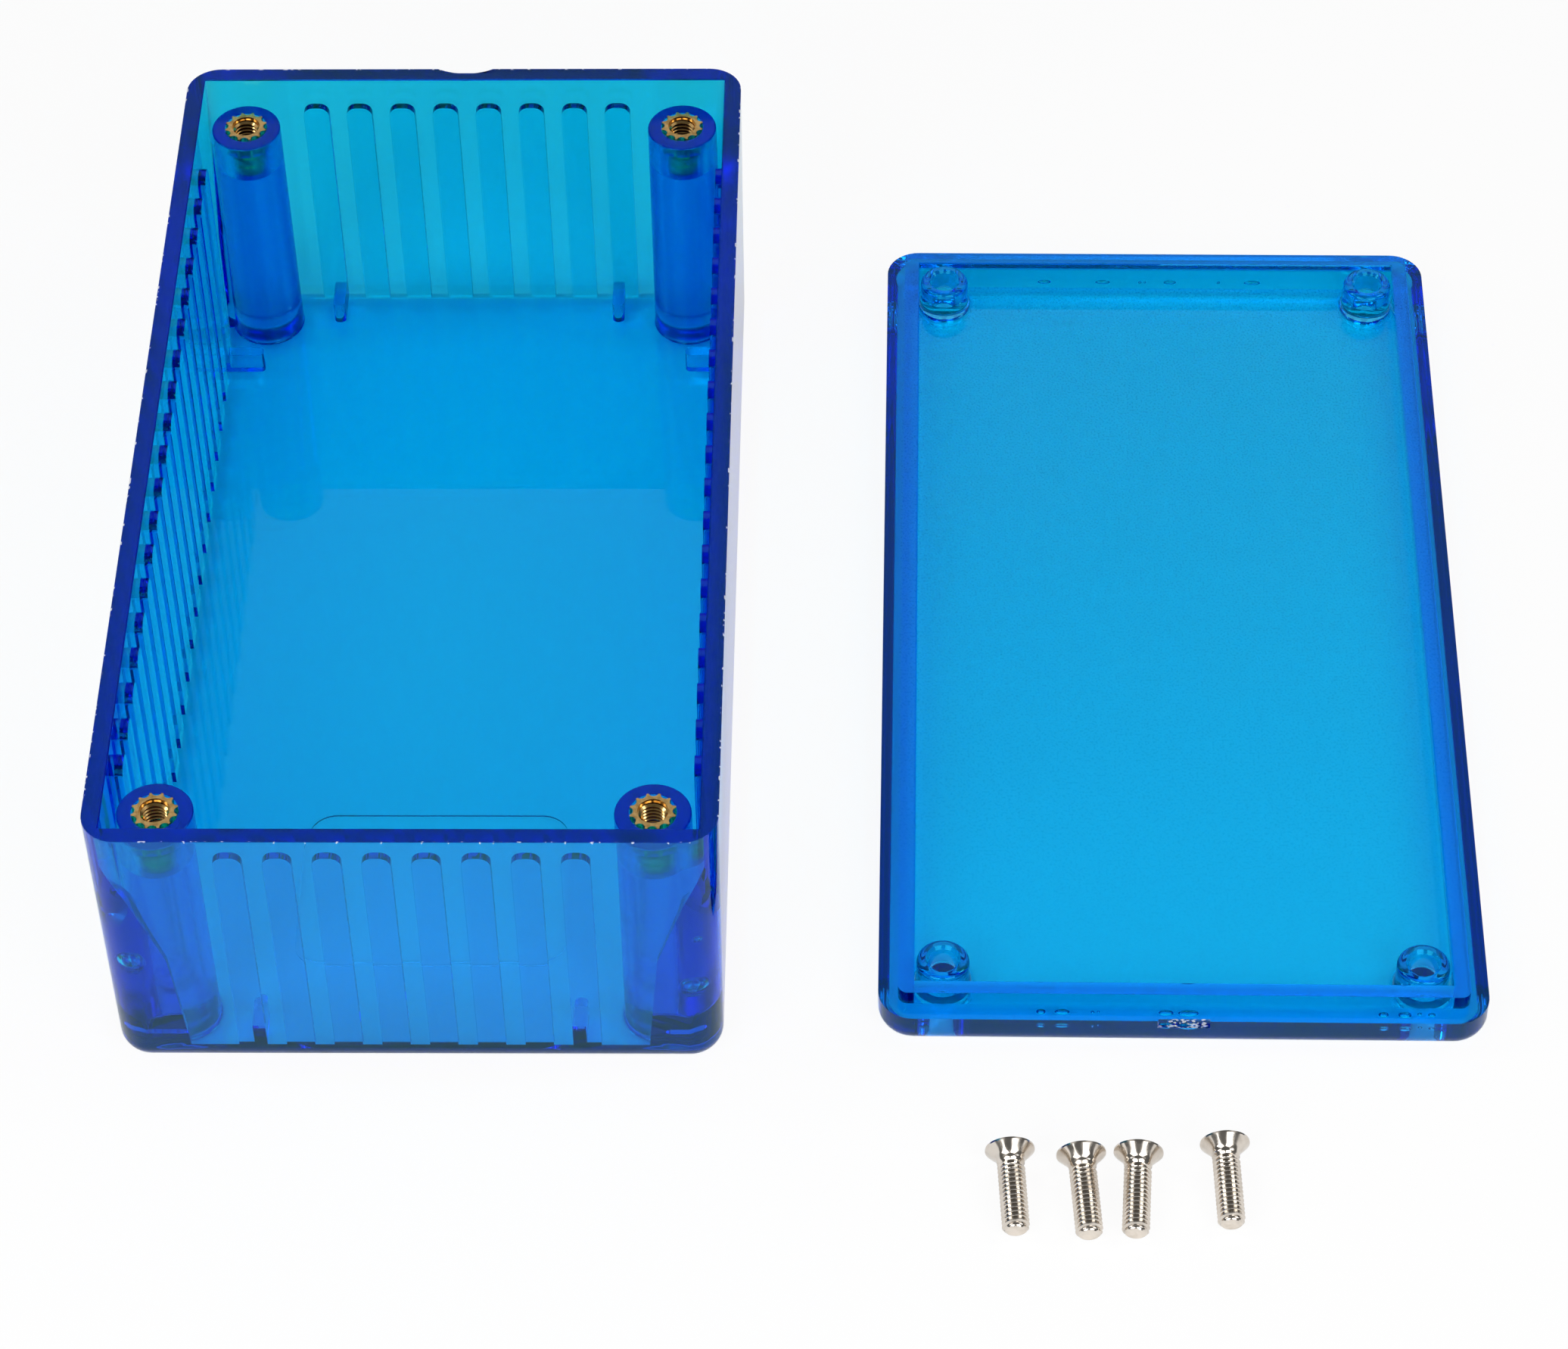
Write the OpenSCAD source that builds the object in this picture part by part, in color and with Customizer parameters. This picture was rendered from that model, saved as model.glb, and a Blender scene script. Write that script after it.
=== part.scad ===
// Clear polycarbonate instrument case, opened: the case, its lid lying beside it on its outer
// face, four brass thread inserts and four countersunk lid screws. Millimetres, +Z up, with the
// origin at the middle of the case's underside, +X to the right and +Y away from the viewer.

/* [Case] */
// Length of the case and the lid, front to back
case_l = 120; // [100:1:200]
// Width of the case and the lid
case_w = 65; // [55:1:120]
// Height of the case without the lid
case_h = 36.5; // [25:0.5:80]
// Thickness of the walls at the rim
wall = 1.95; // [1.6:0.05:2.4]
// Thickness of the floor
floor_t = 2.4; // [1.8:0.1:3.5]
// Radius of the four upright corners at the rim
corner_r = 3.8; // [3.3:0.1:6]
// Radius of the rounded edge round the outer faces
edge_r = 2.8; // [1:0.1:2.9]
// How far each outer wall leans in from the rim to the underside
outer_draft = 0.3; // [0.1:0.05:0.4]
// How much each wall thickens from the rim to the underside
inner_draft = 0.1; // [0:0.05:0.3]
// Chamfer on the inner edge of the rim
rim_chamfer = 0.12; // [0.06:0.02:0.5]

/* [Board ribs] */
// Distance from rib to rib
rib_pitch = 5.08; // [4:0.02:8]
// Width of a rib
rib_w = 3; // [2:0.1:3.5]
// How far a rib stands out from its wall
rib_depth = 0.9; // [0.5:0.05:1.3]
// How far the rib tops lie below the rim
rib_drop = 3.6; // [2.5:0.1:8]
// Radius of the rounded rib tops
rib_round = 1.2; // [0.3:0.1:1.2]
// Least distance from a rib to the nearest boss
rib_boss_gap = 1.4; // [0.8:0.1:3]

/* [Bosses] */
// Diameter of a boss at its top
boss_d = 8; // [7:0.1:9]
// How much a boss widens down to the floor, in radius
boss_draft = 0.15; // [0.05:0.05:0.3]
// Gap between a boss and the side wall
boss_side_gap = 0.95; // [0.8:0.05:2]
// Gap between a boss and the end wall
boss_end_gap = 0.85; // [0.8:0.05:2]
// How far the boss tops lie below the rim
boss_drop = 3.15; // [2.2:0.05:6]
// Radius of the fillet at the foot of a boss
boss_foot_r = 0.6; // [0.2:0.1:0.7]
// Radius of the rounded edge of a boss top
boss_round = 0.2; // [0.1:0.05:0.4]
// How far the top of the corner fill behind a boss lies below the rim
fill_drop = 5.2; // [3:0.1:10]
// How far the fill's top falls from the corner to the boss
fill_fall = 15; // [5:0.5:25]
// Width of the fill behind a rear boss, from the side wall
rear_fill_w = 1.9; // [1:0.1:3]
// How much the fill widens from the low end of its top to the floor
fill_draft = 1.2; // [0.2:0.1:1.5]

/* [Stand-offs] */
// Thickness of a stand-off
fin_t = 1.4; // [0.8:0.1:2]
// Reach of a stand-off from its wall
fin_l = 5.15; // [3:0.05:8]
// Height of a stand-off above the floor
fin_h = 2.7; // [1:0.1:5]
// Radius of the upright corners of a stand-off
fin_round = 0.6; // [0.1:0.1:0.7]

/* [Marks of moulding] */
// Width of the gate notch in the rear rim
notch_w = 6.5; // [3:0.5:10]
// Depth of the gate notch
notch_depth = 0.7; // [0.2:0.1:1]
// Reach of the gate notch into the rim
notch_reach = 0.75; // [0.3:0.05:1]
// Width of the gate scar in the lid's front edge
scar_w = 5.5; // [3:0.5:10]
// Height of the gate scar
scar_h = 1.1; // [0.4:0.1:1.5]
// Depth of the gate scar
scar_depth = 0.3; // [0.1:0.05:0.5]
// Width of the shallow panel in the underside
panel_w = 28.8; // [10:0.1:40]
// Length of the shallow panel in the underside
panel_l = 19.2; // [10:0.1:40]
// Corner radius of the panel
panel_r = 3; // [1:0.1:4]
// Depth of the panel
panel_depth = 0.2; // [0.1:0.05:0.4]
// Distance from the panel to the front of the case
panel_inset = 15.1; // [8:0.1:40]

/* [Lid] */
// Thickness of the lid at its flange
lid_t = 4.5; // [4:0.1:6]
// Radius of the rounded edge round the lid's outer face
lid_edge_r = 2.4; // [1:0.1:2.9]
// Thickness of the lid's flat panel
lid_panel_t = 2.4; // [1.8:0.1:3]
// Height of the lip above the flange
lip_h = 1.8; // [1:0.1:2.1]
// Width of the lip
lip_w = 1.75; // [1.2:0.05:2.5]
// Clearance between the lip and the case walls
lip_gap = 0.15; // [0.05:0.05:0.4]
// Radius of the outer corners of the lip
lip_round = 1.1; // [0.3:0.1:2]
// Chamfer on the inner edge of the lip
lip_chamfer = 0.12; // [0.06:0.02:0.5]
// Diameter of a lid boss
lid_boss_d = 5.7; // [5:0.1:7]
// Radius of the flare at the foot of a lid boss
lid_boss_flare = 1; // [0.3:0.1:1.2]
// Radius of the rounded outer edge of a lid boss
lid_boss_round = 0.6; // [0.2:0.1:0.7]
// Chamfer on the edge of the hole in a lid boss
lid_hole_chamfer = 0.35; // [0.1:0.05:0.5]
// Distance between the case and the lid as they lie
lid_apart = 16.7; // [5:0.1:60]
// How far the lid lies back from the case
lid_back = 2.7; // [-20:0.1:20]
// Turn of the lid as it lies, in degrees
lid_turn = -0.55; // [-5:0.05:5]

/* [Inserts] */
// Outer diameter of the knurled collar
insert_d = 4.9; // [4.5:0.1:5.4]
// Length of the knurled collar
collar_l = 2.2; // [1.5:0.1:3]
// Number of teeth on the collar
collar_teeth = 12; // [8:1:18]
// Depth of the valleys between the teeth
tooth_depth = 0.42; // [0.1:0.02:0.5]
// Radius of the hollow valleys between the teeth
valley_r = 0.55; // [0.3:0.05:0.8]
// How far the collar stands out of the boss
insert_proud = 0.25; // [0.1:0.05:0.5]
// Diameter of the ribbed barrel under the collar
barrel_d = 3.9; // [3.8:0.1:4.3]
// Diameter of the barrel at its nose
nose_d = 3.3; // [3.2:0.1:3.7]
// Length of the barrel
barrel_l = 3.3; // [2.4:0.1:6]
// Depth of the grooves round the barrel
groove_depth = 0.3; // [0.1:0.05:0.3]
// Diameter of the bore, which is the minor diameter of the thread
thread_bore_d = 2.46; // [2:0.02:2.6]
// Diameter of the counterbore at the mouth of the bore
mouth_d = 3.25; // [2.8:0.05:3.6]
// Depth of the counterbore
mouth_depth = 0.35; // [0.1:0.05:0.8]
// Clearance between an insert and its pocket
insert_gap = 0.03; // [0.01:0.01:0.1]
// Room left under the nose of an insert
nose_room = 0.4; // [0.1:0.1:2]

/* [Screws] */
// Major diameter of the screw thread
screw_d = 2.9; // [2.4:0.02:3.1]
// Length of a screw over its head
screw_l = 9.7; // [8:0.1:16]
// Diameter of the screw head
head_d = 5.2; // [4.6:0.1:5.5]
// Full angle of the countersunk head, in degrees
head_angle = 90; // [80:1:100]
// Height of the straight edge of the head
head_edge = 0.2; // [0.1:0.05:0.4]
// Radius of the rounded neck between the head and the thread
neck_r = 1; // [0.4:0.1:1.2]
// Width of a slot of the cross recess
cross_w = 0.75; // [0.5:0.05:1]
// Reach of the cross recess over the head
cross_d = 2.9; // [2:0.1:3.4]
// Depth of the cross recess
cross_depth = 1.3; // [0.6:0.1:1.6]
// Chamfer at the tip
tip_chamfer = 0.38; // [0.1:0.02:0.6]
// Clearance of the screw in the lid, on the diameter
screw_clear = 0.2; // [0.1:0.02:0.5]
// Clearance of the head in its recess, on the diameter
head_clear = 0.5; // [0.2:0.1:1]
// Length of the plain hole between the head's seat and the end of the lid boss
grip = 2.6; // [1:0.1:3]
// Distance from the lid to the screws lying in front of it
screws_apart = 15.5; // [5:0.1:60]

/* [Hidden] */
$fn = 64;
clear_blue = [0.06, 0.5, 0.86];
brass = [0.8, 0.6, 0.3];
nickel = [0.74, 0.71, 0.67];

// Overlap by which ribs, bosses and fills grow into the plastic that carries them
root = 0.2;
// Overshoot of a cut past the face that it opens
cut = 1;

inner_w = case_w - 2 * wall;
inner_l = case_l - 2 * wall;
boss_x = inner_w / 2 - boss_side_gap - boss_d / 2;
boss_y = inner_l / 2 - boss_end_gap - boss_d / 2;
boss_top = case_h - boss_drop;
rib_top = case_h - rib_drop;
fill_top = case_h - fill_drop;
fill_low = max(fill_top - fill_fall, floor_t + boss_foot_r);
fin_corner = min(fin_round, fin_t / 2);
end_ribs = 2 * floor((boss_x - boss_d / 2 - rib_boss_gap - rib_w / 2) / rib_pitch + 0.5);
side_ribs = 2 * floor((boss_y - boss_d / 2 - rib_boss_gap - rib_w / 2) / rib_pitch) + 1;

pocket_d = insert_d + 2 * insert_gap;
pocket_depth = collar_l - insert_proud;
barrel_hole_d = barrel_d + 2 * insert_gap;

lid_x = case_w + lid_apart;
lip_inset = wall + lip_gap;
lid_h = lid_t + lip_h;
screw_hole_d = screw_d + screw_clear;
recess_d = head_d + head_clear;
seat_z = lid_h - grip;
recess_z = seat_z - (recess_d - screw_hole_d) / 2 / tan(head_angle / 2);

screw_lean = atan((head_d - screw_d) / 2 / (screw_l - tip_chamfer - head_edge));
screw_z = head_edge * sin(screw_lean) + head_d / 2 * cos(screw_lean);
// Each screw: across from the middle of the lid and ahead of the row's line, both as shares of
// the lid's width, and its turn in degrees
screws = [[-0.297, 0, 3.2], [-0.183, 0.0077, 4.1], [-0.0908, 0.0046, -3.4], [0.0477, -0.0138, 2.2]];

// Section of a wall that leans out by draft over the height h, with a rounded lower edge
module wall_section(r, h, edge, draft) {
    slant = sqrt(h * h + draft * draft);
    middle = r - draft - edge * (slant - draft) / h;
    intersection() {
        union() {
            polygon([[0, 0], [middle, 0], [middle + edge * h / slant, edge - edge * draft / slant],
                [r, h], [0, h]]);
            translate([middle, edge]) circle(edge);
        }
        square([r, h]);
    }
}

// Block with round upright corners, leaning walls and a rounded lower edge
module moulded_block(w, l, h, edge, draft) {
    for (turn = [0:3]) {
        across = turn % 2 == 0 ? w : l;
        along = turn % 2 == 0 ? l : w;
        rotate(90 * turn) {
            translate([across / 2 - corner_r, along / 2 - corner_r, 0])
                rotate_extrude(angle = 90) wall_section(corner_r, h, edge, draft);
            translate([across / 2 - corner_r, 0, 0])
                rotate([90, 0, 0])
                linear_extrude(along - 2 * corner_r, center = true)
                wall_section(corner_r, h, edge, draft);
        }
    }
    translate([-w / 2 + corner_r, -l / 2 + corner_r, 0])
        cube([w - 2 * corner_r, l - 2 * corner_r, h]);
}

// Section of a hollow that widens by draft up to its mouth, where the edge is chamfered
module hollow_section(half, bottom, top, draft, chamfer) {
    foot = half - draft;
    polygon([[-foot, bottom], [foot, bottom], [half, top - chamfer], [half + chamfer, top],
        [half + chamfer, top + cut], [-half - chamfer, top + cut], [-half - chamfer, top],
        [-half, top - chamfer]]);
}

// Square-cornered hollow, cut from the mouth down
module hollow(w, l, bottom, top, draft, chamfer) {
    intersection() {
        rotate([90, 0, 0])
            linear_extrude(l + 2 * cut, center = true)
            hollow_section(w / 2, bottom, top, draft, chamfer);
        rotate([90, 0, 90])
            linear_extrude(w + 2 * cut, center = true)
            hollow_section(l / 2, bottom, top, draft, chamfer);
    }
}

// Rectangle with round corners, centred
module round_rect(w, l, r) {
    square([w - 2 * r, l], center = true);
    square([w, l - 2 * r], center = true);
    for (x = [-1, 1], y = [-1, 1])
        translate([x * (w / 2 - r), y * (l / 2 - r)]) circle(r);
}

// Outline of a round-topped rib seen square on to its wall
module rib_outline() {
    foot = floor_t - root;
    translate([-rib_w / 2, foot]) square([rib_w, rib_top - rib_round - foot]);
    translate([-rib_w / 2 + rib_round, foot]) square([rib_w - 2 * rib_round, rib_top - foot]);
    for (x = [-1, 1])
        translate([x * (rib_w / 2 - rib_round), rib_top - rib_round]) circle(rib_round);
}

// Row of ribs and two stand-offs on the wall at +Y of a box of the given inner length
module rib_row(count, inner) {
    for (i = [0:count - 1])
        translate([(i - (count - 1) / 2) * rib_pitch, inner / 2 + root, 0])
            rotate([90, 0, 0])
            linear_extrude(rib_depth + root) rib_outline();
    for (side = [0, 1])
        mirror([side, 0, 0])
            translate([(count - 1) / 2 * rib_pitch - rib_w / 2, inner / 2 - fin_l, floor_t - root])
            linear_extrude(fin_h + root) stand_off_outline();
}

// Stand-off in plan, with its free end at the bottom
module stand_off_outline() {
    translate([0, fin_corner]) square([fin_t, fin_l + root - fin_corner]);
    translate([fin_corner, 0]) square([fin_t - 2 * fin_corner, fin_l]);
    for (x = [fin_corner, fin_t - fin_corner])
        translate([x, fin_corner]) circle(fin_corner);
}

// Round post that narrows upward, with a hollow fillet at its foot and a rounded top edge
module post(top_r, foot_r, h, fillet, round) {
    lean = foot_r - top_r;
    slant = sqrt(h * h + lean * lean);
    middle = foot_r + fillet * (slant - lean) / h;
    rotate_extrude()
        difference() {
            union() {
                polygon([[0, -root], [middle, -root], [middle, 0],
                    [middle - fillet * h / slant, fillet - fillet * lean / slant],
                    [top_r, h - round], [top_r - round, h], [0, h]]);
                translate([top_r - round, h - round]) circle(round);
            }
            translate([middle, fillet]) circle(fillet);
        }
}

module at_bosses() {
    for (x = [-1, 1], y = [-1, 1])
        translate([x * boss_x, y * boss_y, 0]) children();
}

// Stepped blind hole of a boss: the insert's pocket and the barrel's hole
module insert_hole() {
    translate([0, 0, boss_top - pocket_depth]) cylinder(d = pocket_d, h = pocket_depth + cut);
    translate([0, 0, boss_top - pocket_depth - barrel_l - nose_room])
        cylinder(d = barrel_hole_d, h = barrel_l + nose_room + cut);
}

// Section of a corner fill along one wall: upright but for its draft from the floor to the low
// end of its top, which then climbs from the boss's axis to the wall
module fill_section(wall_at, boss_at) {
    polygon([[boss_at - fill_draft, floor_t - root], [wall_at + root, floor_t - root],
        [wall_at + root, fill_top], [wall_at, fill_top], [boss_at, fill_low],
        [boss_at - fill_draft, floor_t]]);
}

// Solid plastic that joins a boss to the corner at +X and +Y
module corner_fill(rear) {
    intersection() {
        rotate([90, 0, 0])
            linear_extrude(case_l, center = true)
            if (rear)
                translate([inner_w / 2 - rear_fill_w, floor_t - root]) square([rear_fill_w + root, case_h]);
            else
                fill_section(inner_w / 2, boss_x);
        rotate([90, 0, 90])
            linear_extrude(case_w, center = true) fill_section(inner_l / 2, boss_y);
    }
}

module case() {
    notch_r = (notch_w * notch_w / 4 + notch_depth * notch_depth) / 2 / notch_depth;
    color(clear_blue)
        difference() {
            union() {
                difference() {
                    moulded_block(case_w, case_l, case_h, edge_r, outer_draft);
                    hollow(inner_w, inner_l, floor_t, case_h, inner_draft, rim_chamfer);
                }
                for (end = [0, 1]) {
                    mirror([0, end, 0]) rib_row(end_ribs, inner_l);
                    mirror([end, 0, 0]) rotate(-90) rib_row(side_ribs, inner_w);
                }
                at_bosses()
                    translate([0, 0, floor_t])
                    post(boss_d / 2, boss_d / 2 + boss_draft, boss_top - floor_t, boss_foot_r, boss_round);
                for (x = [0, 1], y = [0, 1])
                    mirror([x, 0, 0]) mirror([0, y, 0]) corner_fill(y == 0);
            }
            at_bosses() insert_hole();
            translate([0, case_l / 2, case_h - notch_depth + notch_r])
                rotate([90, 0, 0]) cylinder(r = notch_r, h = 2 * notch_reach, center = true);
            translate([0, -case_l / 2 + panel_inset + panel_l / 2, -cut])
                linear_extrude(panel_depth + cut) round_rect(panel_w, panel_l, panel_r);
        }
}

// Hole through a lid boss, from the plain hole to the recess that takes the screw head
module countersunk_hole() {
    translate([0, 0, seat_z]) cylinder(d = screw_hole_d, h = grip + cut);
    translate([0, 0, lid_h - lid_hole_chamfer])
        cylinder(d1 = screw_hole_d, d2 = screw_hole_d + 4 * lid_hole_chamfer, h = 2 * lid_hole_chamfer);
    translate([0, 0, recess_z]) cylinder(d1 = recess_d, d2 = screw_hole_d, h = seat_z - recess_z);
    translate([0, 0, -cut]) cylinder(d = recess_d, h = recess_z + cut);
}

module lid() {
    mouth_w = case_w - 2 * lip_inset - 2 * lip_w;
    mouth_l = case_l - 2 * lip_inset - 2 * lip_w;
    color(clear_blue)
        translate([lid_x, lid_back, 0])
        rotate(lid_turn)
        difference() {
            union() {
                difference() {
                    union() {
                        moulded_block(case_w, case_l, lid_t, lid_edge_r, 0);
                        translate([0, 0, lid_t - root])
                            linear_extrude(lip_h + root)
                            round_rect(case_w - 2 * lip_inset, case_l - 2 * lip_inset, lip_round);
                    }
                    hollow(mouth_w, mouth_l, lid_panel_t, lid_h, 0, lip_chamfer);
                }
                at_bosses()
                    translate([0, 0, lid_panel_t])
                    post(lid_boss_d / 2, lid_boss_d / 2, lid_h - lid_panel_t, lid_boss_flare, lid_boss_round);
            }
            at_bosses() countersunk_hole();
            translate([-scar_w / 2, -case_l / 2 - cut, lid_t - scar_h])
                cube([scar_w, cut + scar_depth, scar_h + cut]);
        }
}

// Section of the barrel: two ridges with grooves above them, the lower one smaller, and a nose
module barrel_section() {
    step = barrel_l / 5;
    low = barrel_d / 2 - groove_depth;
    high = barrel_d / 2;
    next = (barrel_d + nose_d) / 4;
    polygon([[0, -root], [low, -root], [low, step], [high, step], [high, 2 * step], [low, 2 * step],
        [low, 3 * step], [next, 3 * step], [next, 4 * step], [nose_d / 2, barrel_l], [0, barrel_l]]);
}

// Brass thread insert with a toothed collar, seated in the pocket of a boss
module insert(x, y) {
    valley_at = insert_d / 2 - tooth_depth + valley_r;
    color(brass)
        translate([x * boss_x, y * boss_y, boss_top + insert_proud - collar_l])
        difference() {
            union() {
                linear_extrude(collar_l)
                    difference() {
                        circle(d = insert_d);
                        for (i = [0:collar_teeth - 1])
                            rotate(360 / collar_teeth * i) translate([valley_at, 0]) circle(valley_r);
                    }
                mirror([0, 0, 1]) rotate_extrude() barrel_section();
            }
            translate([0, 0, -barrel_l - cut]) cylinder(d = thread_bore_d, h = barrel_l + collar_l + 2 * cut);
            translate([0, 0, collar_l - mouth_depth]) cylinder(d = mouth_d, h = mouth_depth + cut);
        }
}

module insert_rear_left() {
    insert(-1, 1);
}

module insert_rear_right() {
    insert(1, 1);
}

module insert_front_left() {
    insert(-1, -1);
}

module insert_front_right() {
    insert(1, -1);
}

// Half section of a screw, with the top of its head at z = 0 and its neck rounded into the head
module screw_section() {
    half = head_angle / 2;
    r = screw_d / 2;
    centre_r = r + neck_r;
    centre_z = -head_edge - (neck_r - (centre_r - head_d / 2) * cos(half)) / sin(half);
    difference() {
        polygon([[0, 0], [head_d / 2, 0], [head_d / 2, -head_edge],
            [centre_r - neck_r * cos(half), centre_z + neck_r * sin(half)], [centre_r, centre_z],
            [r, centre_z], [r, tip_chamfer - screw_l], [r - tip_chamfer, -screw_l], [0, -screw_l]]);
        translate([centre_r, centre_z]) circle(neck_r);
    }
}

// Countersunk screw with a cross recess, head up
module screw() {
    difference() {
        rotate_extrude() screw_section();
        intersection() {
            for (turn = [0, 90])
                rotate(turn) cube([cross_d, cross_w, 2 * cross_depth], center = true);
            translate([0, 0, -cross_depth])
                cylinder(d1 = cross_w, d2 = 2 * cross_d - cross_w, h = 2 * cross_depth);
        }
    }
}

// The four screws, each lying on the rim of its head and the end of its thread
module lid_screws() {
    color(nickel)
        for (s = screws)
            translate([lid_x + s[0] * case_w, lid_back - case_l / 2 - screws_apart - s[1] * case_w, screw_z])
                rotate(s[2])
                rotate([screw_lean - 90, 0, 0]) screw();
}

case();
lid();
insert_rear_left();
insert_rear_right();
insert_front_left();
insert_front_right();
lid_screws();
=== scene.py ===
import bpy
import bmesh
import math
from mathutils import Matrix, Vector


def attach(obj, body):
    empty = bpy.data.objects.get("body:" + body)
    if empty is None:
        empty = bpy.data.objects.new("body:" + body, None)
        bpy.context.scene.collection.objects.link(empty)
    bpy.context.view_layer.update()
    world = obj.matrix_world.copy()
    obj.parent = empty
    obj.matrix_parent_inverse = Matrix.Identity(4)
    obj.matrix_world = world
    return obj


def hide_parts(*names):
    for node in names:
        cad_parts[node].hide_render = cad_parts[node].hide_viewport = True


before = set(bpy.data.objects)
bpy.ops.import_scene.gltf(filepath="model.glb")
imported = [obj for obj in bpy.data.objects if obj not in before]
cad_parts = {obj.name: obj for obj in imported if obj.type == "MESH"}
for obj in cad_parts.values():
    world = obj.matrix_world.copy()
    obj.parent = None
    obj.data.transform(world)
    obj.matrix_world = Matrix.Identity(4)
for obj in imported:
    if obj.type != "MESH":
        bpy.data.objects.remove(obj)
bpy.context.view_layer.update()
scene = bpy.context.scene
mm = 0.001
bossAt = {"across": 25.6, "along": 53.2}  # boss axes, from the middle of the case
smoothUnder = 25  # degrees between faces that shade as one

# camera at the photograph's viewing angle
viewpoint = {
    "lens": 112.545, "sensor": 36, "near": 0.01,
    "place": (0.049030, -0.382825, 0.411960),
    "right": (0.999801, 0.0140299, -0.0141809),
    "up": (-0.00070775, 0.7353808, 0.6776538),
}


def makeCamera(v):
    data = bpy.data.cameras.new("camera")
    data.sensor_fit = "HORIZONTAL"
    data.sensor_width = v["sensor"]
    data.lens = v["lens"]
    data.clip_start = v["near"]
    camera = bpy.data.objects.new("camera", data)
    right = Vector(v["right"]).normalized()
    back = right.cross(Vector(v["up"])).normalized()
    up = back.cross(right)
    turn = Matrix((right, up, back)).transposed().to_4x4()
    camera.matrix_world = Matrix.Translation(v["place"]) @ turn
    scene.collection.objects.link(camera)
    scene.camera = camera


makeCamera(viewpoint)
print("camera placed")


def newMaterial(name):
    mat = bpy.data.materials.new(name)
    mat.use_nodes = True
    return mat, mat.node_tree.nodes["Principled BSDF"]


# a node, with values or other sockets on its inputs
def addNode(mat, kind, settings, values):
    node = mat.node_tree.nodes.new("ShaderNode" + kind)
    for name, value in settings.items():
        setattr(node, name, value)
    for name, value in values.items():
        if isinstance(value, bpy.types.NodeSocket):
            mat.node_tree.links.new(value, node.inputs[name])
        else:
            node.inputs[name].default_value = value
    return node.outputs


def plug(mat, source, node, name):
    mat.node_tree.links.new(source, node.inputs[name])


def plugOutput(mat, source, name):
    plug(mat, source, mat.node_tree.nodes["Material Output"], name)


def calc(mat, operation, *values):
    return addNode(mat, "Math", {"operation": operation}, dict(enumerate(values)))[0]


def ramp(mat, value, low, high, start, end):
    limits = {"Value": value, "From Min": low, "From Max": high, "To Min": start, "To Max": end}
    return addNode(mat, "MapRange", {}, limits)["Result"]


def noise(mat, way, scale, detail):
    return addNode(mat, "TexNoise", {}, {"Vector": way, "Scale": scale, "Detail": detail})[0]


def objectPlace(mat):
    way = addNode(mat, "TexCoord", {}, {})["Object"]
    axes = addNode(mat, "SeparateXYZ", {}, {"Vector": way})
    return way, axes["X"], axes["Y"], axes["Z"]


# distance from the axis of the nearest boss
def fromBoss(mat, x, y):
    across = calc(mat, "SUBTRACT", calc(mat, "ABSOLUTE", x), bossAt["across"] * mm)
    along = calc(mat, "SUBTRACT", calc(mat, "ABSOLUTE", y), bossAt["along"] * mm)
    squares = calc(mat, "MULTIPLY_ADD", across, across, calc(mat, "MULTIPLY", along, along))
    return calc(mat, "SQRT", squares)


def setBump(mat, shader, height, depth):
    bump = addNode(mat, "Bump", {}, {"Height": height, "Strength": 1.0, "Distance": depth})
    plug(mat, bump["Normal"], shader, "Normal")


# clear blue polycarbonate, coloured by how far the light goes through it
clearBlue = {
    "ior": 1.585, "reflection": (0.05, 0.9, 1.0, 1),
    "absorption": (0.0, 0.9285, 0.9947, 1), "density": 2000,
}


def makeClearBlue(name, c):
    mat, shader = newMaterial(name)
    shader.inputs["Base Color"].default_value = (1, 1, 1, 1)
    shader.inputs["Transmission Weight"].default_value = 1
    shader.inputs["IOR"].default_value = c["ior"]
    shader.inputs["Specular Tint"].default_value = c["reflection"]
    values = {"Color": c["absorption"], "Density": c["density"]}
    plugOutput(mat, addNode(mat, "VolumeAbsorption", {}, values)[0], "Volume")
    return mat, shader


# the case: polished, its bosses and rim duller, its rim nicked along the outer edge
caseSkin = {
    "dull": 0.22, "bossRadius": 4.4, "floor": 2.6, "rim": 36.3, "halfWidth": 32.5, "halfLength": 60,
    "nickIn": 0.14, "nickScale": 2200, "nickNoise": (0.68, 0.74), "nick": 0.6,
}


def makeCaseBlue(s):
    mat, shader = makeClearBlue("case clear blue", clearBlue)
    way, x, y, z = objectPlace(mat)
    onBoss = calc(mat, "LESS_THAN", fromBoss(mat, x, y), s["bossRadius"] * mm)
    onBoss = calc(mat, "MULTIPLY", onBoss, calc(mat, "GREATER_THAN", z, s["floor"] * mm))
    onRim = calc(mat, "GREATER_THAN", z, s["rim"] * mm)
    dull = calc(mat, "MULTIPLY", calc(mat, "MAXIMUM", onBoss, onRim), s["dull"])
    pastSide = calc(mat, "SUBTRACT", calc(mat, "ABSOLUTE", x), s["halfWidth"] * mm)
    pastEnd = calc(mat, "SUBTRACT", calc(mat, "ABSOLUTE", y), s["halfLength"] * mm)
    outward = calc(mat, "MAXIMUM", pastSide, pastEnd)
    onEdge = calc(mat, "MULTIPLY", onRim, calc(mat, "GREATER_THAN", outward, -s["nickIn"] * mm))
    specks = ramp(mat, noise(mat, way, s["nickScale"], 0.0), *s["nickNoise"], 0.0, s["nick"])
    nicks = calc(mat, "MULTIPLY", onEdge, specks)
    plug(mat, calc(mat, "MAXIMUM", dull, nicks), shader, "Roughness")
    plug(mat, calc(mat, "SUBTRACT", 1.0, nicks), shader, "Transmission Weight")
    return mat


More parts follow.
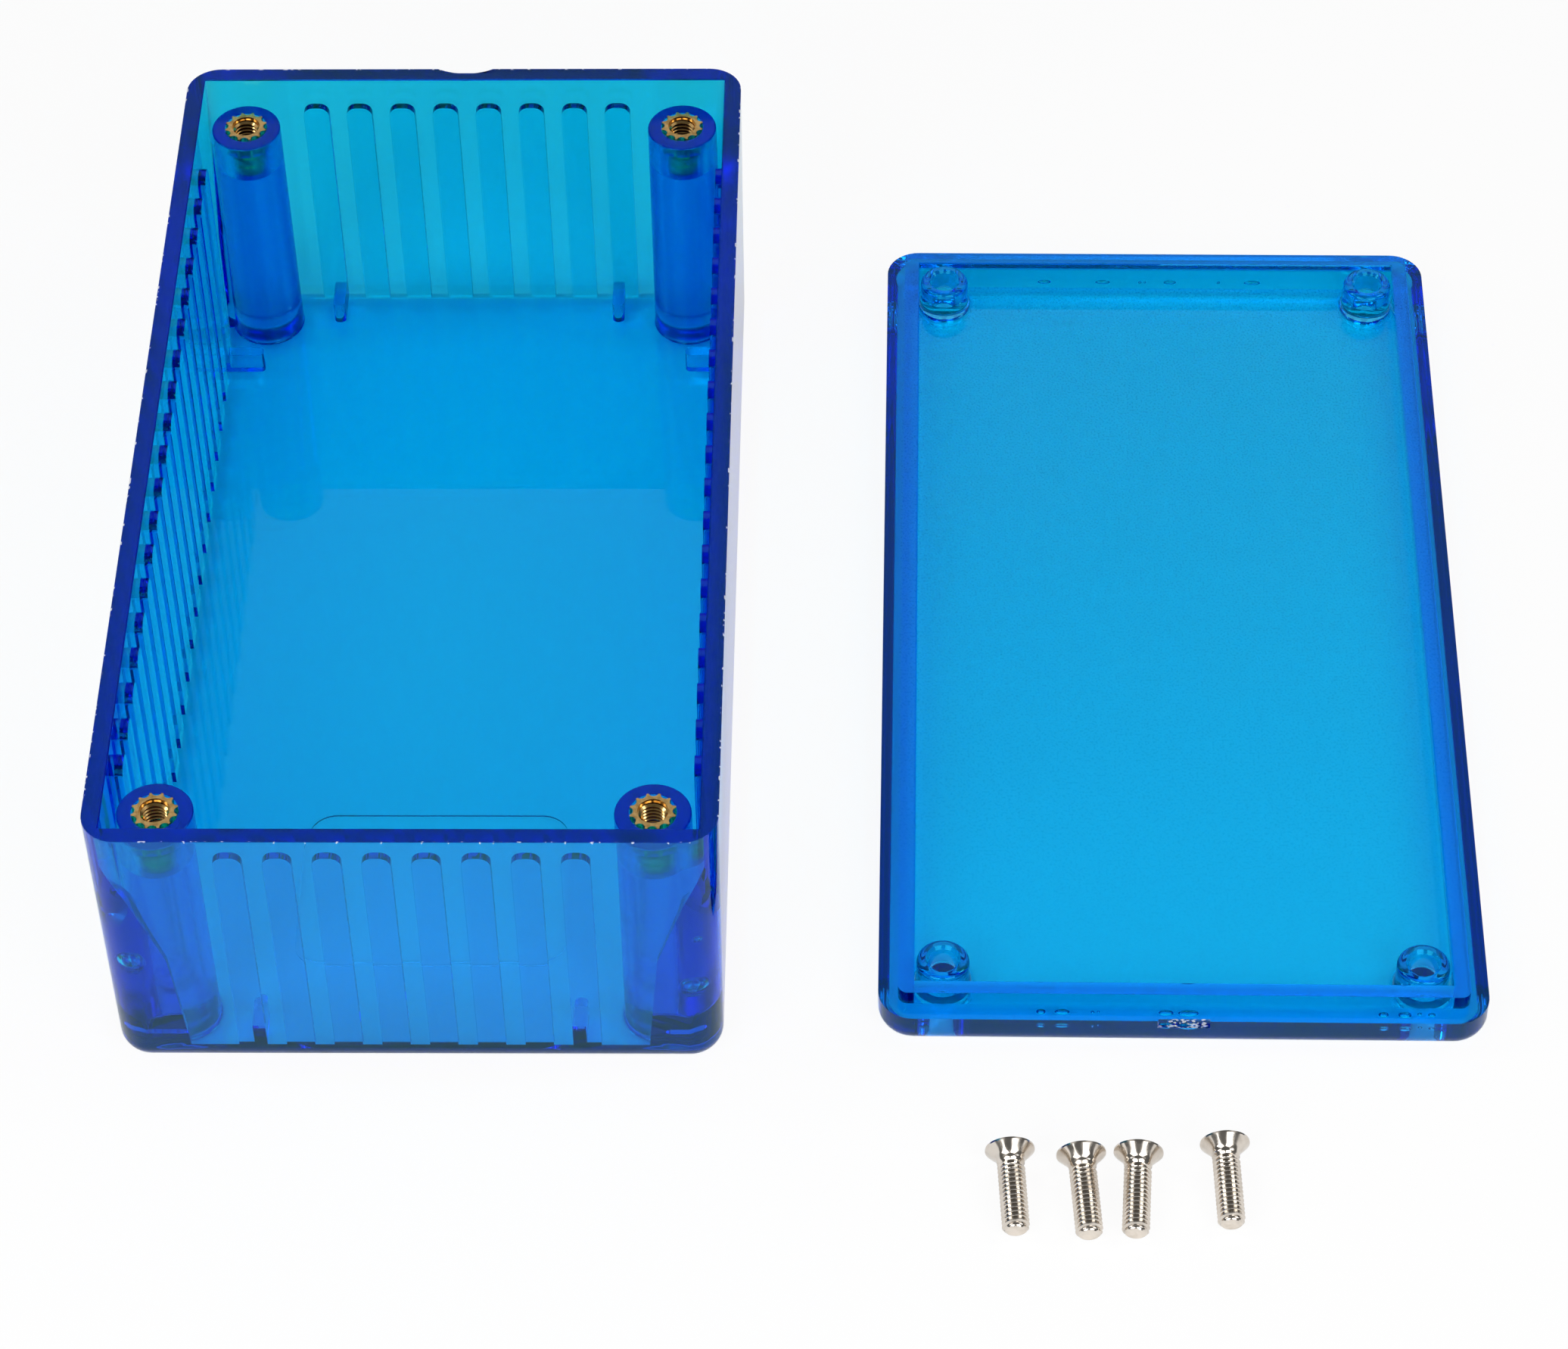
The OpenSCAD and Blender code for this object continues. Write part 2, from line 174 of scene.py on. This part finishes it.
# the lid: polished, its outer face finely grained with painted glints (white specks, stronger
# towards the far end), its gate scar torn
lidSkin = {
    "grainScale": 3600, "grain": 0.006, "grainTo": 0.06, "grainNoise": (0.52, 0.75),
    "glint": 0.22, "glintLeast": 0.1, "glintFrom": -45, "glintTo": 60,
    "scar": 0.3, "scarAt": 81.1, "scarHalf": 2.77, "scarFrom": -56.98, "scarFoot": 3.39,
    "scarScale": 2600, "scarNoise": (0.52, 0.66), "torn": 0.5,
}


def makeLidBlue(s):
    mat, shader = makeClearBlue("lid clear blue", clearBlue)
    way, x, y, z = objectPlace(mat)
    under = calc(mat, "LESS_THAN", z, s["grainTo"] * mm)
    aside = calc(mat, "ABSOLUTE", calc(mat, "SUBTRACT", x, s["scarAt"] * mm))
    onScar = calc(mat, "LESS_THAN", aside, s["scarHalf"] * mm)
    onScar = calc(mat, "MULTIPLY", onScar, calc(mat, "LESS_THAN", y, s["scarFrom"] * mm))
    onScar = calc(mat, "MULTIPLY", onScar, calc(mat, "GREATER_THAN", z, s["scarFoot"] * mm))
    plug(mat, calc(mat, "MULTIPLY", onScar, s["scar"]), shader, "Roughness")
    torn = ramp(mat, noise(mat, way, s["scarScale"], 0.0), *s["scarNoise"], 0.0, s["torn"])
    torn = calc(mat, "MULTIPLY", onScar, torn)
    grain = noise(mat, way, s["grainScale"], 0.0)
    # painted glints: the grain's peaks on the outer face turn to white diffuse specks, fading from
    # the far end to the near end as painted highlight
    glint = ramp(mat, y, s["glintFrom"] * mm, s["glintTo"] * mm, s["glintLeast"], 1.0)
    glint = calc(mat, "MULTIPLY", under, glint)
    glint = calc(mat, "MULTIPLY", glint, ramp(mat, grain, *s["grainNoise"], 0.0, s["glint"]))
    clear = calc(mat, "SUBTRACT", 1.0, calc(mat, "MAXIMUM", torn, glint))
    plug(mat, clear, shader, "Transmission Weight")
    height = calc(mat, "MULTIPLY", grain, calc(mat, "MAXIMUM", under, onScar))
    setBump(mat, shader, height, s["grain"] * mm)
    return mat


# a metal whose tint and polish vary in clouds
def makeMetal(name, s):
    mat, shader = newMaterial(name)
    shader.inputs["Metallic"].default_value = 1
    way, x, y, z = objectPlace(mat)
    cloud = noise(mat, way, s["cloudScale"], s["cloudDetail"])
    part = ramp(mat, cloud, *s["tintNoise"], 0.0, 1.0)
    tint = addNode(mat, "MixRGB", {}, {"Fac": part, 1: s["light"], 2: s["dark"]})
    plug(mat, tint[0], shader, "Base Color")
    polish = ramp(mat, cloud, *s["polishNoise"], s["smooth"], s["rough"])
    plug(mat, polish, shader, "Roughness")
    return mat, shader, way, x, y, z


# turned brass, its marks running round each insert
brassSkin = {
    "light": (0.68, 0.45, 0.18, 1), "dark": (0.45, 0.27, 0.09, 1),
    "cloudScale": 1400, "cloudDetail": 3.0, "tintNoise": (0.4, 0.7), "polishNoise": (0.35, 0.65),
    "smooth": 0.08, "rough": 0.18, "markPitch": 0.11, "mark": 0.0012, "markFrom": 33.2,
}


def makeBrass(s):
    mat, shader, way, x, y, z = makeMetal("brass", s)
    phase = calc(mat, "MULTIPLY", fromBoss(mat, x, y), 2 * math.pi / (s["markPitch"] * mm))
    onTop = calc(mat, "GREATER_THAN", z, s["markFrom"] * mm)
    turned = calc(mat, "MULTIPLY", calc(mat, "SINE", phase), onTop)
    setBump(mat, shader, turned, s["mark"] * mm)
    return mat


# bright nickel plate with a little tarnish
nickelSkin = {
    "light": (0.72, 0.66, 0.59, 1), "dark": (0.6, 0.54, 0.47, 1),
    "cloudScale": 900, "cloudDetail": 4.0, "tintNoise": (0.45, 0.75), "polishNoise": (0.35, 0.65),
    "smooth": 0.1, "rough": 0.2, "pitScale": 5000, "pitDetail": 2.0, "pit": 0.0002,
}


def makeNickel(s):
    mat, shader, way, x, y, z = makeMetal("nickel", s)
    setBump(mat, shader, noise(mat, way, s["pitScale"], s["pitDetail"]), s["pit"] * mm)
    return mat


caseBlue = makeCaseBlue(caseSkin)
lidBlue = makeLidBlue(lidSkin)
brass = makeBrass(brassSkin)
nickel = makeNickel(nickelSkin)
print("materials made")


def nodeCopy(node):
    bm = bmesh.new()
    bm.from_mesh(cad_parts[node].data)
    bmesh.ops.remove_doubles(bm, verts=bm.verts, dist=0.002 * mm)
    return bm


def shadeFaces(faces, edges):
    for face in faces:
        face.smooth = True
    for edge in edges:
        bend = edge.calc_face_angle() if len(edge.link_faces) == 2 else math.pi
        edge.smooth = bend < math.radians(smoothUnder)


def facesOf(verts):
    return list({face for vert in verts for face in vert.link_faces})


# a ridge's faces turned outwards and shaded
def closeRidge(bm, verts):
    faces = facesOf(verts)
    bmesh.ops.recalc_face_normals(bm, faces=faces)
    shadeFaces(faces, {edge for face in faces for edge in face.edges})


def finishPiece(name, bm, mat, node):
    mesh = bpy.data.meshes.new(name)
    bm.to_mesh(mesh)
    bm.free()
    piece = bpy.data.objects.new(name, mesh)
    scene.collection.objects.link(piece)
    mesh.materials.append(mat)
    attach(piece, "root")
    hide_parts(node)
    return piece


# bubbles: place and half sizes in mm
def addBubbles(bm, bubbles):
    for spot, half in bubbles:
        made = bmesh.ops.create_uvsphere(bm, u_segments=24, v_segments=16, radius=mm)
        ball = made["verts"]
        bmesh.ops.scale(bm, verts=ball, vec=half)
        bmesh.ops.translate(bm, verts=ball, vec=Vector(spot) * mm)
        skin = facesOf(ball)
        bmesh.ops.reverse_faces(bm, faces=skin)
        for face in skin:
            face.smooth = True


caseBubbles = [
    ((-29.1, -57.2, 15.6), (1.25, 1.1, 1.7)),
    ((29.0, -57.2, 11.7), (1.3, 1.1, 1.5)),
    ((29.5, -57.4, 19.5), (0.4, 0.35, 0.5)),
]
lidBubbles = [  # in the thick flange, along its near and far edges
    ((66.0, -55.15, 2.5), (0.5, 0.35, 0.3)),
    ((68.25, -55.17, 2.5), (0.8, 0.35, 0.3)),
    ((71.5, -55.2, 2.45), (0.2, 0.2, 0.2)),
    ((72.1, -55.2, 2.6), (0.15, 0.15, 0.15)),
    ((79.3, -55.28, 2.5), (0.8, 0.35, 0.3)),
    ((81.7, -55.3, 2.4), (1.1, 0.4, 0.3)),
    ((102.4, -55.5, 2.5), (0.55, 0.35, 0.3)),
    ((104.65, -55.52, 2.5), (0.7, 0.4, 0.35)),
    ((106.2, -55.5, 2.7), (0.25, 0.2, 0.2)),
    ((107.5, -55.55, 2.6), (0.4, 0.25, 0.25)),
    ((68.9, 60.82, 2.5), (0.8, 0.35, 0.3)),
    ((76.05, 60.75, 2.5), (0.9, 0.35, 0.3)),
    ((80.6, 60.71, 2.5), (0.2, 0.2, 0.2)),
    ((81.2, 60.7, 2.5), (0.15, 0.15, 0.15)),
    ((84.25, 60.68, 2.5), (0.75, 0.3, 0.3)),
    ((90.2, 60.62, 2.5), (0.2, 0.2, 0.2)),
    ((94.3, 60.58, 2.5), (1.0, 0.35, 0.3)),
]

# the fillet at the foot of a rear boss is sharper on its free side
rearFoot = {
    "radius": 4.15, "reach": 4.95, "floor": 2.4, "slack": 0.01, "top": 3.05,
    "keep": 0.35, "spread": 0.6,
}


def sharpenFeet(bm, f):
    for vert in bm.verts:
        side = 1 if vert.co.x > 0 else -1
        middle = Vector((side * bossAt["across"], bossAt["along"])) * mm
        out = vert.co.xy - middle
        r = out.length / mm
        z = vert.co.z / mm
        if f["radius"] < r < f["reach"] and f["floor"] - f["slack"] < z < f["top"]:
            free = min(1, max(0, (-side * out.x - out.y) / out.length + f["spread"]))
            keep = 1 - (1 - f["keep"]) * free
            vert.co.xy = middle + out * (f["radius"] + (r - f["radius"]) * keep) / r
            vert.co.z = (f["floor"] + (z - f["floor"]) * keep) * mm


def makeCase():
    bm = nodeCopy("case")
    sharpenFeet(bm, rearFoot)
    shadeFaces(bm.faces, bm.edges)
    addBubbles(bm, caseBubbles)
    finishPiece("mouldedCase", bm, caseBlue, "case")


def makeLid():
    bm = nodeCopy("lid")
    shadeFaces(bm.faces, bm.edges)
    addBubbles(bm, lidBubbles)
    finishPiece("mouldedLid", bm, lidBlue, "lid")


makeCase()
makeLid()
print("mouldings made")


# right-handed helical ridge about the z axis, from the height start down to end
def addRidge(bm, t):
    turns = (t["start"] - t["end"]) / t["pitch"]
    half = t["pitch"] / 2
    profile = [
        (t["root"], half * t["foot"]), (t["crest"], half * t["flat"]),
        (t["crest"], -half * t["flat"]), (t["root"], -half * t["foot"]),
    ]
    steps = int(turns * t["steps"])
    ring = [bm.verts.new((r * mm, 0, (t["start"] + z) * mm)) for r, z in profile]
    edges = [bm.edges.new((ring[i], ring[(i + 1) % 4])) for i in range(4)]
    before = set(bm.verts) - set(ring)
    bmesh.ops.spin(
        bm, geom=ring + edges, cent=(0, 0, 0), axis=(0, 0, 1),
        dvec=(0, 0, -t["pitch"] * turns / steps * mm), angle=-turns * 2 * math.pi, steps=steps,
    )
    made = [vert for vert in bm.verts if vert not in before]
    rims = [edge for vert in made for edge in vert.link_edges if len(edge.link_faces) == 1]
    bmesh.ops.holes_fill(bm, edges=list(set(rims)), sides=4)
    return made


# brass inserts, with their threads cut into the bore
insertThread = {
    "start": 33.2, "end": 28.3, "pitch": 0.5, "root": 1.52, "crest": 1.23,
    "foot": 0.92, "flat": 0.2, "steps": 32,
}
insertBore = {
    "minor": 1.23, "major": 1.5, "slack": 0.03,
    "mouth": 1.625, "top": 33.35, "lead": 0.35, "below": 0.02,
}
insertSides = {
    "insert_rear_left": (-1, 1), "insert_rear_right": (1, 1),
    "insert_front_left": (-1, -1), "insert_front_right": (1, -1),
}


def makeInsert(node, side, b):
    bm = nodeCopy(node)
    middle = Vector((side[0] * bossAt["across"], side[1] * bossAt["along"], 0)) * mm
    bmesh.ops.translate(bm, verts=bm.verts, vec=-middle)
    for vert in bm.verts:
        r = vert.co.xy.length
        if abs(r - b["minor"] * mm) < b["slack"] * mm:
            vert.co.xy *= b["major"] * mm / r
    shadeFaces(bm.faces, bm.edges)
    ridge = addRidge(bm, insertThread)
    for vert in ridge:  # the ridge ends on the mouth's chamfer
        r = vert.co.xy.length
        down = (b["top"] - vert.co.z / mm) / b["lead"]
        least = b["mouth"] + (b["minor"] - b["mouth"]) * down
        if r < least * mm:
            vert.co.xy *= min(least, b["mouth"]) * mm / r
        vert.co.z = min(vert.co.z, (b["top"] - b["below"]) * mm)
    closeRidge(bm, ridge)
    bmesh.ops.translate(bm, verts=bm.verts, vec=middle)
    finishPiece("brass_" + node, bm, brass, node)


for node, side in insertSides.items():
    makeInsert(node, side, insertBore)
print("inserts made")

# nickel screws: the thread winds round the shank, which is thinned to its root
screwThread = {
    "start": -1.95, "end": -9.55, "pitch": 0.5, "root": 1.16, "crest": 1.45,
    "foot": 0.92, "flat": 0.15, "steps": 36,
}
screwShape = {
    "shank": 1.45, "slack": 0.05, "root": 1.18, "threadTop": -1.95, "tip": -9.7, "chamfer": 0.38,
    "lean": 7.30, "headEdge": 0.2, "headRadius": 2.6,
    "own": (3, -10, 0.2),  # reach, lowest and highest point of one screw
    "cutSlack": 0.01, "tipSlack": 0.1, "fadeFrom": 0.2, "fadeOver": 0.4, "least": 0.9,
}
screwPlaces = [  # across, along and turn
    (62.395, -72.8, 3.2), (69.805, -73.3005, 4.1), (75.798, -73.099, -3.4), (84.8005, -71.903, 2.2),
]


def screwMatrix(spot, s):
    lean = math.radians(s["lean"])
    z = s["headEdge"] * math.sin(lean) + s["headRadius"] * math.cos(lean)
    stand = Matrix.Translation(Vector((spot[0], spot[1], z)) * mm)
    turn = Matrix.Rotation(math.radians(spot[2]), 4, "Z")
    return stand @ turn @ Matrix.Rotation(lean - math.pi / 2, 4, "X")


# the shank of the screw that stands about the z axis, thinned below the thread's top
def thinShank(bm, s):
    reach, low, high = (size * mm for size in s["own"])
    own = [vert for vert in bm.verts if vert.co.xy.length < reach and low < vert.co.z < high]
    geom = own + list({edge for vert in own for edge in vert.link_edges}) + facesOf(own)
    bmesh.ops.bisect_plane(
        bm, geom=geom, dist=0.0001 * mm, plane_co=(0, 0, s["threadTop"] * mm), plane_no=(0, 0, 1),
    )
    foot = (s["tip"] - s["tipSlack"]) * mm
    top = (s["threadTop"] + s["cutSlack"]) * mm
    for vert in bm.verts:
        r = vert.co.xy.length
        if abs(r - s["shank"] * mm) < s["slack"] * mm and foot < vert.co.z < top:
            vert.co.xy *= s["root"] * mm / r


# the ridge follows the tip's chamfer and fades out towards the head
def trimRidge(ridge, s, t):
    for vert in ridge:
        r = vert.co.xy.length
        down = vert.co.z / mm - s["tip"]
        most = min(s["shank"], s["shank"] - s["chamfer"] + down)
        fade = (t["start"] + s["fadeFrom"] - vert.co.z / mm) / s["fadeOver"]
        most = t["root"] + (most - t["root"]) * min(1, max(0, fade))
        if r > most * mm:
            vert.co.xy *= max(most, t["root"] * s["least"]) * mm / r


def makeScrews(s):
    bm = nodeCopy("lid_screws")
    shadeFaces(bm.faces, bm.edges)
    for spot in screwPlaces:
        turn = screwMatrix(spot, s)
        bmesh.ops.transform(bm, matrix=turn.inverted(), verts=bm.verts)
        thinShank(bm, s)
        bmesh.ops.transform(bm, matrix=turn, verts=bm.verts)
    ridges = []
    for spot in screwPlaces:
        ridge = addRidge(bm, screwThread)
        trimRidge(ridge, s, screwThread)
        bmesh.ops.transform(bm, matrix=screwMatrix(spot, s), verts=ridge)
        ridges += ridge
    closeRidge(bm, ridges)
    finishPiece("nickelScrews", bm, nickel, "lid_screws")


makeScrews(screwShape)
print("screws made")

# floor and light
studio = {
    "gap": 0.15, "reach": 3.0, "floor": (0.95, 0.95, 0.95, 1),
    "white": 0.92, "whiteInGloss": 0.4, "whiteInClear": 0.04,
    "sky": 0.12, "band": 0.5,
    "bandFoot": (0.5, 0.62), "bandTop": (0.8, 0.87), "bandEnd": (-0.35, -0.05),
    "bounces": 48, "clearBounces": 32,
    "lampAim": (0.04, 0, 0), "lamps": [  # place, size and radiance
        ((-0.19, -0.41, 0.31), (0.3, 0.4), 3.6), ((0.27, -0.41, 0.31), (0.3, 0.4), 3.6),
        ((-0.42, -0.02, 0.42), (0.12, 0.3), 4.5), ((0.5, -0.02, 0.42), (0.12, 0.3), 4.5),
    ],
}


# the floor glows white to the camera, and less in reflections and through the plastic
def makeFloorWhite(s):
    mat, shader = newMaterial("white floor")
    shader.inputs["Base Color"].default_value = s["floor"]
    shader.inputs["Roughness"].default_value = 1
    shader.inputs["Specular IOR Level"].default_value = 0
    path = addNode(mat, "LightPath", {}, {})
    lessInClear = s["whiteInClear"] - s["whiteInGloss"]  # a transmitted ray is glossy too
    weight = calc(mat, "MULTIPLY", path["Is Transmission Ray"], lessInClear)
    weight = calc(mat, "MULTIPLY_ADD", path["Is Glossy Ray"], s["whiteInGloss"], weight)
    weight = calc(mat, "MULTIPLY_ADD", path["Is Camera Ray"], s["white"], weight)
    glow = addNode(mat, "Emission", {}, {})
    mix = addNode(mat, "MixShader", {}, {0: weight, 1: shader.outputs[0], 2: glow[0]})
    plugOutput(mat, mix[0], "Surface")
    return mat


def makeFloor(s):
    bm = bmesh.new()
    bmesh.ops.create_grid(bm, x_segments=1, y_segments=1, size=s["reach"])
    bmesh.ops.translate(bm, verts=bm.verts, vec=(0, 0, -s["gap"] * mm))
    mesh = bpy.data.meshes.new("floor")
    bm.to_mesh(mesh)
    bm.free()
    floor = bpy.data.objects.new("floor", mesh)
    scene.collection.objects.link(floor)
    mesh.materials.append(makeFloorWhite(s))


# a dim sky with a bright band behind and beside the object, and a dark top
def makeSky(s):
    world = bpy.data.worlds.new("studio")
    scene.world = world
    world.use_nodes = True
    back = world.node_tree.nodes["Background"]
    back.inputs["Color"].default_value = (1, 1, 1, 1)
    way = addNode(world, "TexCoord", {}, {})["Generated"]
    axes = addNode(world, "SeparateXYZ", {}, {"Vector": way})
    foot = ramp(world, axes["Z"], *s["bandFoot"], 0.0, 1.0)
    top = ramp(world, axes["Z"], *s["bandTop"], 1.0, 0.0)
    end = ramp(world, axes["Y"], *s["bandEnd"], 0.0, s["band"])
    band = calc(world, "MULTIPLY", calc(world, "MULTIPLY", foot, top), end)
    plug(world, calc(world, "ADD", band, s["sky"]), back, "Strength")


def makeLamps(s):
    for spot, size, radiance in s["lamps"]:
        data = bpy.data.lights.new("softbox", "AREA")
        data.shape = "RECTANGLE"
        data.size, data.size_y = size
        data.energy = radiance * math.pi * data.size * data.size_y
        lamp = bpy.data.objects.new("softbox", data)
        way = Vector(s["lampAim"]) - Vector(spot)
        turn = way.to_track_quat("-Z", "Y").to_matrix().to_4x4()
        lamp.matrix_world = Matrix.Translation(spot) @ turn
        scene.collection.objects.link(lamp)


makeFloor(studio)
makeSky(studio)
makeLamps(studio)
scene.view_settings.view_transform = "Standard"
scene.cycles.max_bounces = studio["bounces"]
scene.cycles.glossy_bounces = studio["bounces"]
scene.cycles.transmission_bounces = studio["clearBounces"]
scene.cycles.blur_glossy = 0
print("studio lit")
